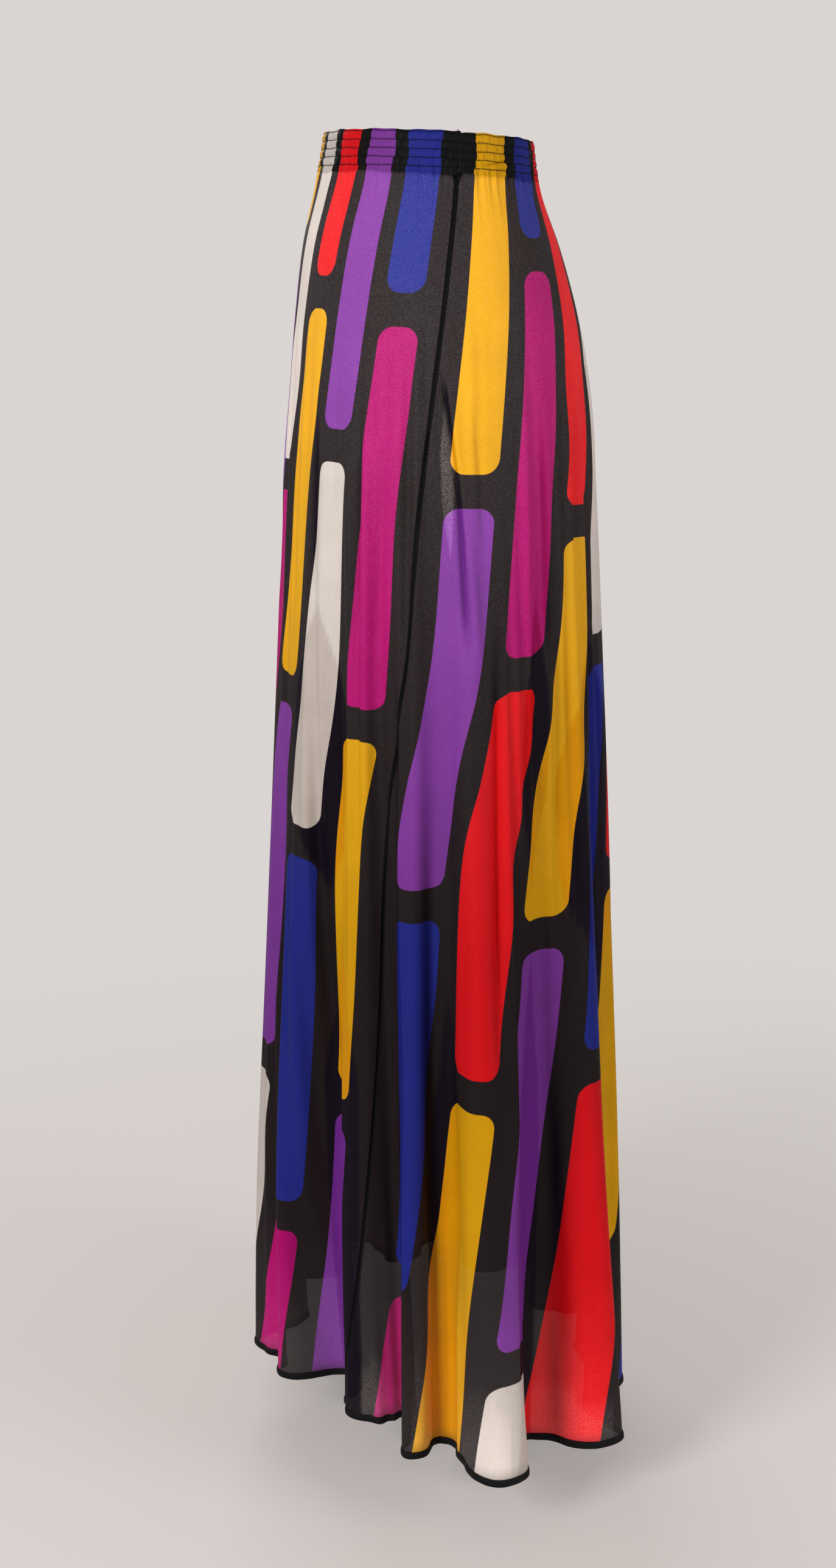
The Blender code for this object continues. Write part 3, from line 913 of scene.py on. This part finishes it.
def plain_material(name, colour, roughness, grain, depth, sheen):
    """A plain dyed finish with a fine grain of the given size: its tone varies a little with it."""
    material, tree = new_material(name)
    where = add_node(tree, "ShaderNodeTexCoord").outputs["Object"]
    noise = add_node(tree, "ShaderNodeTexNoise", {"Vector": where, "Scale": 1 / grain, "Detail": 3.0})
    values = {"noise": noise.outputs["Fac"]}
    work_out(tree, values, (("tone", "MULTIPLY_ADD", "noise", PLAIN_SPAN, PLAIN_LOW),))
    toned = add_node(tree, "ShaderNodeVectorMath", {0: tuple(colour)[:3], 3: values["tone"]},
                     operation="SCALE")
    bump = add_node(tree, "ShaderNodeBump", {"Height": noise.outputs["Fac"], "Strength": 0.7,
                                             "Distance": depth})
    shader = add_node(tree, "ShaderNodeBsdfPrincipled", {
        "Base Color": toned.outputs[0], "Roughness": roughness, "Sheen Weight": sheen,
        "Specular IOR Level": 0.15, "Normal": bump.outputs["Normal"]})
    add_node(tree, "ShaderNodeOutputMaterial", {"Surface": shader.outputs["BSDF"]})
    return material


# Pieces

def waist_edge(share):
    """The drop where the casing's turned-in edge ends, wavering a little round the waist."""
    return CASING_HEIGHT - MM * (EDGE_INSET + wave_sum(EDGE_WAVES, share))


def seam_groove(distance, drop):
    """How far the cloth dips at a side seam, with tiny puckers on both sides of its stitches."""
    puckers = PUCKER_HEIGHT * np.sin(2 * math.pi * drop / PUCKER_PITCH)
    puckers = puckers * np.exp(-(distance / PUCKER_REACH) ** 2)
    return puckers - GROOVE_DEPTH * np.exp(-(distance / GROOVE_REACH) ** 2)


def stitched_lift(angle, down, puff):
    """Outer height of the casing: nothing on a row of stitches, and between two rows a puffed channel,
    a half sine across that swells and slackens round the waist with the gathers."""
    rows = np.append(STITCH_ROWS, CASING_HEIGHT)
    channel = np.clip(np.searchsorted(rows, down, side="right") - 1, 0, len(rows) - 2)
    share = np.clip((down - rows[channel]) / (rows[channel + 1] - rows[channel]), 0, 1)
    height = np.where(channel == len(rows) - 2, LAST_PUFF, 1.0) * (1 + wave_sum(SWELLS, angle, channel))
    return CASING_OUTER + puff * height * np.sin(math.pi * share) ** PUFF_FULLNESS


def seam_step(angle, drop):
    """How much lower the casing lies: it sways a little round the waist, and its two halves were joined
    out of line, the front half higher, so it jumps at each side seam. Both even out down to the panels."""
    height = wave_sum(SWAYS, angle)
    for name, turn in (("seam_left", 1.0), ("seam_right", -1.0)):
        past = turn * past_angle(angle, drop, np.radians(smooth_column(drop, name)))
        height = height + np.where(past > 0, 1.0, -1.0) * np.exp(-np.abs(past) / SEAM_STEP_REACH)
    return SEAM_STEP * height * np.clip(1 - drop / CASING_HEIGHT, 0, 1)


def make_panel(part, name, material, thickness):
    """One flared panel: rows of evenly shared columns from the casing's edge into the hem binding."""
    share = np.linspace(0, 1, PANEL_COLUMNS)
    t = np.linspace(0, 1, PANEL_ROWS)
    bottom = LENGTH - PANEL_END * BINDING_HEIGHT
    drops = CASING_HEIGHT + (bottom - CASING_HEIGHT) * ((1 - ROW_CLOSENESS) * t + ROW_CLOSENESS * t**2)
    angles, widths = even_angles(*seams(part, drops), drops, PANEL_COLUMNS)
    uneven = np.clip(1 - ROW_EVENING * t, 0, 1)[:, None] ** 2
    drop = drops[:, None] + (waist_edge(share) - CASING_HEIGHT) * uneven
    distance = np.minimum(share, 1 - share) * widths[:, None]
    points = lifted(angles, drop, thickness / 2 + seam_groove(distance, drop))
    uv = np.stack([np.broadcast_to(share, drop.shape), drop / LENGTH], axis=-1)
    # The layers value holds the deeper tone of cloth in two layers with painted shade in recesses and
    # troughs, and below nought painted highlight and floor light
    piece = new_piece(name, points, grid_faces(PANEL_ROWS, PANEL_COLUMNS), material, uv,
                      seam_distance=distance, layers=doubled(angles, drop))
    return solidify(piece, thickness, -1.0)


def make_casing(part, name, material, puff):
    """Half of the waist: closed loops down the stitched outer side and up the plain inner side."""
    share = np.linspace(0, 1, PANEL_COLUMNS)
    first = CASING_TOP + CASING_TOP_POINTS
    down = np.concatenate([first[:-1], np.linspace(first[-1], CASING_HEIGHT, CASING_ROWS)])
    angles, widths = even_angles(*seams(part, down), down, PANEL_COLUMNS)
    edge = (waist_edge(share) - CASING_HEIGHT) * ease((down - STITCH_ROWS[-1]) / EDGE_REACH)[:, None]
    drop = down[:, None] + edge
    distance = np.minimum(share, 1 - share) * widths[:, None]
    outer = stitched_lift(angles, drop, puff) + seam_groove(distance, drop)
    inner = np.full(drop.shape, -CASING_INNER)
    outer[0], inner[0], inner[-1] = TOP_OUTER, TOP_INNER, FOOT_INNER
    inward = SEAM_KEEP * (1 if part == "front" else -1) * np.sign(share - 0.5)
    lowered = drop + seam_step(angles - inward, drop)
    sides = [lifted(angles, lowered, outer), lifted(angles, lowered, inner)[::-1]]
    loops = np.concatenate(sides).transpose(1, 0, 2)
    shift = wave_sum(PRINT_SHIFTS, share, np.floor((down - FIRST_ROW) / ROW_PITCH)[:, None])
    uv = np.stack([share + shift * ease(distance / PRINT_SHIFT_REACH), drop / LENGTH], axis=-1)
    uv = np.concatenate([uv, uv[::-1]]).transpose(1, 0, 2)
    away = np.concatenate([distance, distance[::-1]]).T
    faces = loop_faces(len(share), 2 * len(down), False)
    return new_piece(name, loops, faces, material, uv, seam_distance=away, layers=np.zeros(away.shape))


def make_stitching(name, material, sizes):
    """Running stitches in black thread along every row of the casing, outside and inside, each a short
    raised arch."""
    around = np.linspace(0, 2 * math.pi, MEASURE_POINTS)
    along = np.linspace(0, 1, STITCH_POINTS)
    arch = sizes.thread * (STITCH_FOOT + STITCH_ARCH * np.sin(math.pi * along))
    sides = ((CASING_OUTER, 1.0), (-CASING_INNER, -1.0))
    paths, normals = [], []
    for (k, row), (face, way) in itertools.product(enumerate(STITCH_ROWS), sides):
        line = smooth_cloth(around, row)
        run = np.concatenate([[0], np.cumsum(np.linalg.norm(np.diff(line, axis=0), axis=-1))])
        count = int(run[-1] / (sizes.stitch + sizes.stitch_gap))
        start = (np.arange(count) + ROW_SHIFT * k + FACE_SHIFT * way) * run[-1] / count
        place = np.mod(start[:, None] + along * sizes.stitch, run[-1])
        angle = np.interp(place, run, around)
        drop = row + MM * wave_sum(STITCH_WAVES, angle, k)
        paths.append(lifted(angle, drop + seam_step(angle, drop), face + way * arch))
        normals.append(outward(angle, drop))
    points, faces = thread_tubes(np.concatenate(paths), np.concatenate(normals), sizes.thread / 2)
    return new_piece(name, points, faces, material)


def make_thread_tails(name, material, sizes):
    """Two clipped thread ends that stand up from the top edge by the left side seam."""
    along = np.linspace(0, 1, TAIL_POINTS)
    degrees, lean, height = np.array([TAIL_ANGLES, TAIL_LEANS, TAIL_HEIGHTS])[..., None]
    angle = np.radians(degrees) + lean * along**2
    normals = outward(angle, np.zeros_like(angle))
    paths = lifted(angle, CASING_TOP + TAIL_START, TAIL_LIFT)
    paths[..., 2] += height * MM * along
    paths += normals * (TAIL_BEND * np.sin(TAIL_TURN * along))[..., None]
    points, faces = thread_tubes(paths, normals, TAIL_THICKNESS * sizes.thread / 2)
    return new_piece(name, points, faces, material)


def make_binding(name, material, sizes):
    """The bias strip rolled over the hem: an oval section, squared off, carried all round the edge."""
    right, left = seams("front", np.array([LENGTH]))
    angles, run = even_angles(right, right + 2 * math.pi, np.array([LENGTH]), BINDING_SECTIONS + 1)
    angle = angles[0, :-1]
    along = run[0] * np.arange(BINDING_SECTIONS) / BINDING_SECTIONS
    turn = np.linspace(0, 2 * math.pi, BINDING_POINTS, endpoint=False)
    up, out = np.cos(turn), np.sin(turn)
    squared = [np.sign(part) * np.abs(part) ** BINDING_SQUARENESS for part in (up, out)]
    ripple = 1 + wave_sum(BINDING_RIPPLES, along)
    half = sizes.binding_height / 2 * (1 + wave_sum(BINDING_SWELLS, along))
    drop = LENGTH - sizes.binding_height / 2 - half[:, None] * squared[0]
    lift = sizes.binding_thickness / 2 * ripple[:, None] * squared[1] * (1 - BINDING_TAPER * up)
    points = lifted(angle[:, None], drop, lift)
    return new_piece(name, points, loop_faces(BINDING_SECTIONS, BINDING_POINTS, True), material)


def make_allowance(side, name, material, sizes):
    """A side seam's pressed allowances: a narrow strip inside the cloth along the whole seam."""
    drop = np.linspace(CASING_HEIGHT - ALLOWANCE_TUCK, LENGTH - BINDING_HEIGHT, ALLOWANCE_ROWS)[:, None]
    part = "front" if side == "left" else "back"
    middle = seams(part, drop)[1]
    wavering = 1 + wave_sum(ALLOWANCE_WAVES, drop)
    aside = np.linspace(-1, 1, ALLOWANCE_COLUMNS) * sizes.allowance * wavering
    speed = np.linalg.norm(smooth_cloth(middle + STEP, drop) - smooth_cloth(middle - STEP, drop), axis=-1)
    angle = middle + aside * 2 * STEP / speed
    points = lifted(angle, drop, -ALLOWANCE_DEPTH)
    piece = new_piece(name, points, grid_faces(ALLOWANCE_ROWS, ALLOWANCE_COLUMNS), material)
    return solidify(piece, ALLOWANCE_THICKNESS, -1.0)


# Add-on

def colour_property(name, description, code):
    """A colour with its sRGB hex code as the default."""
    return bpy.props.FloatVectorProperty(name=name, description=description, default=linear(code),
                                         size=4, min=0.0, max=1.0, subtype="COLOR")


def length_property(name, description, default):
    """A length in metres."""
    return bpy.props.FloatProperty(name=name, description=description, default=default, min=0.0,
                                   precision=5, unit="LENGTH", subtype="DISTANCE")


def share_property(name, description, default):
    """A share from 0 to 1."""
    return bpy.props.FloatProperty(name=name, description=description, default=default, min=0.0,
                                   max=1.0, precision=3, subtype="FACTOR")


class SkirtSizes(bpy.types.PropertyGroup):
    """Sizes of the cloth and of what is sewn on it."""
    cloth: length_property("Cloth", "Thickness of the crepe with its pebbled grain", 0.0005)
    puff: length_property("Channel puff", "How far an elastic channel stands out between its stitches",
                          0.0007)
    stitch: length_property("Stitch", "Length of one running stitch", 0.0024)
    stitch_gap: length_property("Stitch gap", "Gap between two running stitches", 0.0008)
    thread: length_property("Thread", "Thickness of the sewing thread", 0.0005)
    binding_height: length_property("Binding height", "Height of the bias strip round the hem", 0.0060)
    binding_thickness: length_property("Binding thickness", "Thickness of the rolled bias strip", 0.0026)
    allowance: length_property("Allowance", "Width of a side seam's allowance on each side", 0.0021)


class SkirtPrint(bpy.types.PropertyGroup):
    """Layout of the printed bars and size of the crepe's grain."""
    seam_margin: share_property("Seam margin", "Share of a panel's width left black beside a seam", 0.022)
    bar_width: share_property("Bar width", "Width of a bar as a share of its column", 0.70)
    bar_length: length_property("Bar length", "Length of a bar with the gap after it", 0.33)
    bar_gap: length_property("Bar gap", "Gap between the ends of two bars", 0.026)
    bar_corner: length_property("Bar corner", "Radius of a bar's corners", 0.013)
    edge: length_property("Edge", "Softness of a bar's edge", 0.0005)
    grain: length_property("Grain", "Size of the crepe's pebbles as drawn", 0.0006)
    allowance: length_property("Seam strip", "Half the width of the darker strip along a seam", 0.0023)


class SkirtColours(bpy.types.PropertyGroup):
    """Colours of the print, of the trimmings and of the room."""
    cream: colour_property("Cream", "Cream bars", "#E5D9D1")
    red: colour_property("Red", "Red bars", "#F8141E")
    magenta: colour_property("Magenta", "Magenta bars", "#C20276")
    purple: colour_property("Purple", "Purple bars", "#8E40AA")
    blue: colour_property("Blue", "Blue bars", "#263096")
    yellow: colour_property("Yellow", "Yellow bars", "#F7B40A")
    black: colour_property("Black", "Black ground of one layer", "#281F21")
    # Used where the cloth lies in two layers and in the painted shade of recesses and troughs
    tinged_black: colour_property("Tinged black", "Black ground with inks behind it", "#24152E")
    doubled_black: colour_property("Doubled black", "Black ground of two layers", "#0C0B0D")
    pore: colour_property("Pores", "Pale light that comes through the weave", "#CFC8C4")
    binding: colour_property("Binding", "Bias strip round the hem", "#0A090B")
    thread: colour_property("Thread", "Sewing thread", "#0D0B0D")
    floor: colour_property("Floor", "Plain pale floor", "#D3CBC8")
    room: colour_property("Room", "Plain pale room round the skirt", "#DAD5D2")


class SKIRT_OT_panels(bpy.types.Operator):
    """Makes the front and the back panel of printed crepe."""
    bl_idname = "skirt.panels"
    bl_label = "Panels"

    def execute(self, context):
        sizes = context.scene.skirt_sizes
        for part in ("front", "back"):
            piece = make_panel(part, f"{part}_cloth", crepe_material(SINGLE_CREPE, part), sizes.cloth)
            finish_piece(piece, "printed_crepe", f"{part}_panel")
        return {"FINISHED"}


class SKIRT_OT_waist(bpy.types.Operator):
    """Makes the elastic casing in two halves, with its stitching and thread tails."""
    bl_idname = "skirt.waist"
    bl_label = "Waist"

    def execute(self, context):
        sizes, colours = context.scene.skirt_sizes, context.scene.skirt_colours
        for part in ("front", "back"):
            piece = make_casing(part, f"waist_{part}", crepe_material(DOUBLED_CREPE, part), sizes.puff)
            finish_piece(piece, "casing_crepe", f"waist_casing_{part}")
        # Sewing thread, spun and twisted, dull and a little fuzzy
        thread = plain_material("spun polyester sewing thread", colours.thread, roughness=0.8, grain=0.0006,
                                depth=0.05 * MM, sheen=0.0)
        finish_piece(make_stitching("waist_stitching", thread, sizes), "binding_silk")
        finish_piece(make_thread_tails("waist_thread_tails", thread, sizes), "binding_silk")
        return {"FINISHED"}


class SKIRT_OT_hem(bpy.types.Operator):
    """Makes the narrow bias binding round the hem."""
    bl_idname = "skirt.hem"
    bl_label = "Hem binding"

    def execute(self, context):
        sizes, colours = context.scene.skirt_sizes, context.scene.skirt_colours
        # A strip of silk cut on the bias, dyed black, folded and stitched, which leaves it slightly rippled
        silk = plain_material("matt black silk bias strip", colours.binding, roughness=0.72, grain=0.0009,
                              depth=0.25 * MM, sheen=0.02)
        finish_piece(make_binding("hem_roll", silk, sizes), "binding_silk", "hem_binding")
        return {"FINISHED"}


class SKIRT_OT_seams(bpy.types.Operator):
    """Makes the side seams' pressed allowances inside the cloth."""
    bl_idname = "skirt.seams"
    bl_label = "Seam allowances"

    def execute(self, context):
        sizes, colours = context.scene.skirt_sizes, context.scene.skirt_colours
        # The plain black margin of the panels' crepe, pressed flat in two layers
        crepe = plain_material("black silk crepe", colours.doubled_black, roughness=0.66, grain=0.0011,
                               depth=0.2 * MM, sheen=0.1)
        for side in ("left", "right"):
            finish_piece(make_allowance(side, f"seam_allowance_{side}", crepe, sizes), "printed_crepe")
        return {"FINISHED"}


class SKIRT_OT_cloth_facts(bpy.types.Operator):
    """Does nothing and finishes at once."""
    bl_idname = "skirt.cloth_facts"
    bl_label = "Cloth facts"

    def execute(self, context):
        return {"FINISHED"}


class SKIRT_OT_stage(bpy.types.Operator):
    """Makes the pale floor, the room's light, the soft lamps and the camera."""
    bl_idname = "skirt.stage"
    bl_label = "Stage"

    def execute(self, context):
        scene, colours = context.scene, context.scene.skirt_colours
        make_floor("floor", colours.floor)
        make_room(scene, colours.room)
        for lamp in LAMPS:
            make_lamp(lamp)
        make_camera(scene)
        scene.view_settings.view_transform = "Standard"
        return {"FINISHED"}


class SKIRT_PT_sidebar(bpy.types.Panel):
    """Lists the skirt's sizes, colours and pieces."""
    bl_idname = "SKIRT_PT_sidebar"
    bl_label = "Maxi skirt"
    bl_space_type = "VIEW_3D"
    bl_region_type = "UI"
    bl_category = "Skirt"

    def draw(self, context):
        for group in (context.scene.skirt_sizes, context.scene.skirt_print, context.scene.skirt_colours):
            box = self.layout.box()
            for name in group.__annotations__:
                box.prop(group, name)
        for operator in OPERATORS:
            self.layout.operator(operator.bl_idname)


# Stage

# A soft lamp: how far it stands to the left of the camera's line, above the skirt's middle and towards the
# camera, its size and its power in watts
Lamp = namedtuple("Lamp", "name left up near size power")
LAMPS = (
    Lamp("key", 1.5, 0.8, 2.0, 0.9, 56.0),
    Lamp("fill", -2.0, 0.5, 1.2, 1.0, 24.0),
    Lamp("back", 0.6, 1.4, -2.2, 1.4, 34.0),
)
SKIRT_MIDDLE = np.array([0.0, 0.0, -0.5])

# How strong the light from the room is, as a share of the room's own colour
ROOM_LIGHT = 0.46

# The camera: how far round from the front it stands, how far it looks down, its distance, how far aside
# and above the origin it is, its lens in millimetres, its frame's shift and how far it sees
CAMERA_AZIMUTH = math.radians(77)
CAMERA_PITCH = math.radians(6.558)
CAMERA_DISTANCE = 1.97
CAMERA_ASIDE = -0.008
CAMERA_HEIGHT = -0.063
CAMERA_LENS = 53.52
CAMERA_SENSOR = 36.0
CAMERA_SHIFT = -0.18
CAMERA_REACH = 60.0

# The floor's height, its rings and its sides, and between which distances it melts into the room
FLOOR_HEIGHT = -1.094
FLOOR_RINGS = np.array([0.001, 0.5, 1.0, 2.0, 4.0, 8.0])[:, None]
FLOOR_SIDES = 96
FADE_START, FADE_END = 0.6, 1.9


def camera_axes():
    """Level unit vectors from the skirt towards the camera and to the camera's right."""
    sine, cosine = math.sin(CAMERA_AZIMUTH), math.cos(CAMERA_AZIMUTH)
    return np.array([sine, -cosine, 0.0]), np.array([cosine, sine, 0.0])


def make_camera(scene):
    """The camera stands level with the waist, turned down a little, and shifted to frame the skirt."""
    near, right = camera_axes()
    data = bpy.data.cameras.new("camera")
    data.sensor_width = CAMERA_SENSOR
    data.lens = CAMERA_LENS
    data.shift_y = CAMERA_SHIFT
    data.clip_end = CAMERA_REACH
    camera = bpy.data.objects.new("camera", data)
    camera.location = (*(CAMERA_DISTANCE * near + CAMERA_ASIDE * right)[:2], CAMERA_HEIGHT)
    camera.rotation_euler = (math.pi / 2 - CAMERA_PITCH, 0.0, CAMERA_AZIMUTH)
    bpy.context.collection.objects.link(camera)
    scene.camera = camera


def make_lamp(lamp):
    """A square soft lamp beside the camera that shines at the middle of the skirt."""
    near, right = camera_axes()
    place = lamp.near * near - lamp.left * right + np.array([0.0, 0.0, lamp.up]) + SKIRT_MIDDLE
    aim = SKIRT_MIDDLE - place
    data = bpy.data.lights.new(lamp.name, "AREA")
    data.size = lamp.size
    data.energy = lamp.power
    item = bpy.data.objects.new(lamp.name, data)
    item.location = place
    yaw = math.atan2(aim[1], aim[0]) - math.pi / 2
    item.rotation_euler = (math.pi / 2 + math.atan2(aim[2], math.hypot(*aim[:2])), 0.0, yaw)
    item.visible_camera = False
    bpy.context.collection.objects.link(item)


def make_room(scene, colour):
    """The room's own colour all round, and a weaker even light from it, so that the lamps model folds."""
    world = bpy.data.worlds.new("pale room")
    world.use_nodes = True
    world.node_tree.nodes.clear()
    tree = world.node_tree
    seen = add_node(tree, "ShaderNodeBackground", {"Color": tuple(colour), "Strength": 1.0})
    lit = add_node(tree, "ShaderNodeBackground", {"Color": tuple(colour), "Strength": ROOM_LIGHT})
    path = add_node(tree, "ShaderNodeLightPath")
    both = add_node(tree, "ShaderNodeMixShader", {
        0: path.outputs["Is Camera Ray"], 1: lit.outputs["Background"], 2: seen.outputs["Background"]})
    add_node(tree, "ShaderNodeOutputWorld", {"Surface": both.outputs["Shader"]})
    scene.world = world


def make_floor(name, colour):
    """A round floor of matt paper that melts into the room away from the skirt."""
    turn = np.linspace(0, 2 * math.pi, FLOOR_SIDES, endpoint=False)
    x, y = FLOOR_RINGS * np.cos(turn), FLOOR_RINGS * np.sin(turn)
    points = np.stack([x, y, np.full(x.shape, FLOOR_HEIGHT)], axis=-1)
    material, tree = new_material("matt background paper")
    where = add_node(tree, "ShaderNodeTexCoord").outputs["Object"]
    reach = add_node(tree, "ShaderNodeVectorMath", {0: where}, operation="LENGTH")
    fade = add_node(tree, "ShaderNodeMapRange", {
        "Value": reach.outputs["Value"], "From Min": FADE_START, "From Max": FADE_END},
        interpolation_type="SMOOTHSTEP")
    paper = add_node(tree, "ShaderNodeBsdfPrincipled", {"Base Color": tuple(colour), "Roughness": 0.9,
                                                        "Specular IOR Level": 0.2})
    clear = add_node(tree, "ShaderNodeBsdfTransparent")
    mixed = add_node(tree, "ShaderNodeMixShader", {0: fade.outputs["Result"], 1: paper.outputs["BSDF"],
                                                   2: clear.outputs["BSDF"]})
    add_node(tree, "ShaderNodeOutputMaterial", {"Surface": mixed.outputs["Shader"]})
    floor = new_piece(name, points, ring_quads(np.arange(x.size).reshape(x.shape)), material)


GROUPS = {"skirt_sizes": SkirtSizes, "skirt_print": SkirtPrint, "skirt_colours": SkirtColours}
OPERATORS = (SKIRT_OT_panels, SKIRT_OT_waist, SKIRT_OT_hem, SKIRT_OT_seams, SKIRT_OT_cloth_facts,
             SKIRT_OT_stage)


def register():
    """Registers the classes and gives every scene the three property groups."""
    for item in (*GROUPS.values(), *OPERATORS, SKIRT_PT_sidebar):
        bpy.utils.register_class(item)
    for name, group in GROUPS.items():
        setattr(bpy.types.Scene, name, bpy.props.PointerProperty(type=group))


def unregister():
    """Takes the property groups and the classes out again."""
    for name in GROUPS:
        delattr(bpy.types.Scene, name)
    for item in (SKIRT_PT_sidebar, *reversed(OPERATORS), *GROUPS.values()):
        bpy.utils.unregister_class(item)


def main():
    """Makes the skirt and its stage with the operators, in their order."""
    register()
    for operator in OPERATORS:
        group, name = operator.bl_idname.split(".")
        getattr(getattr(bpy.ops, group), name)()


if __name__ == "__main__":
    main()
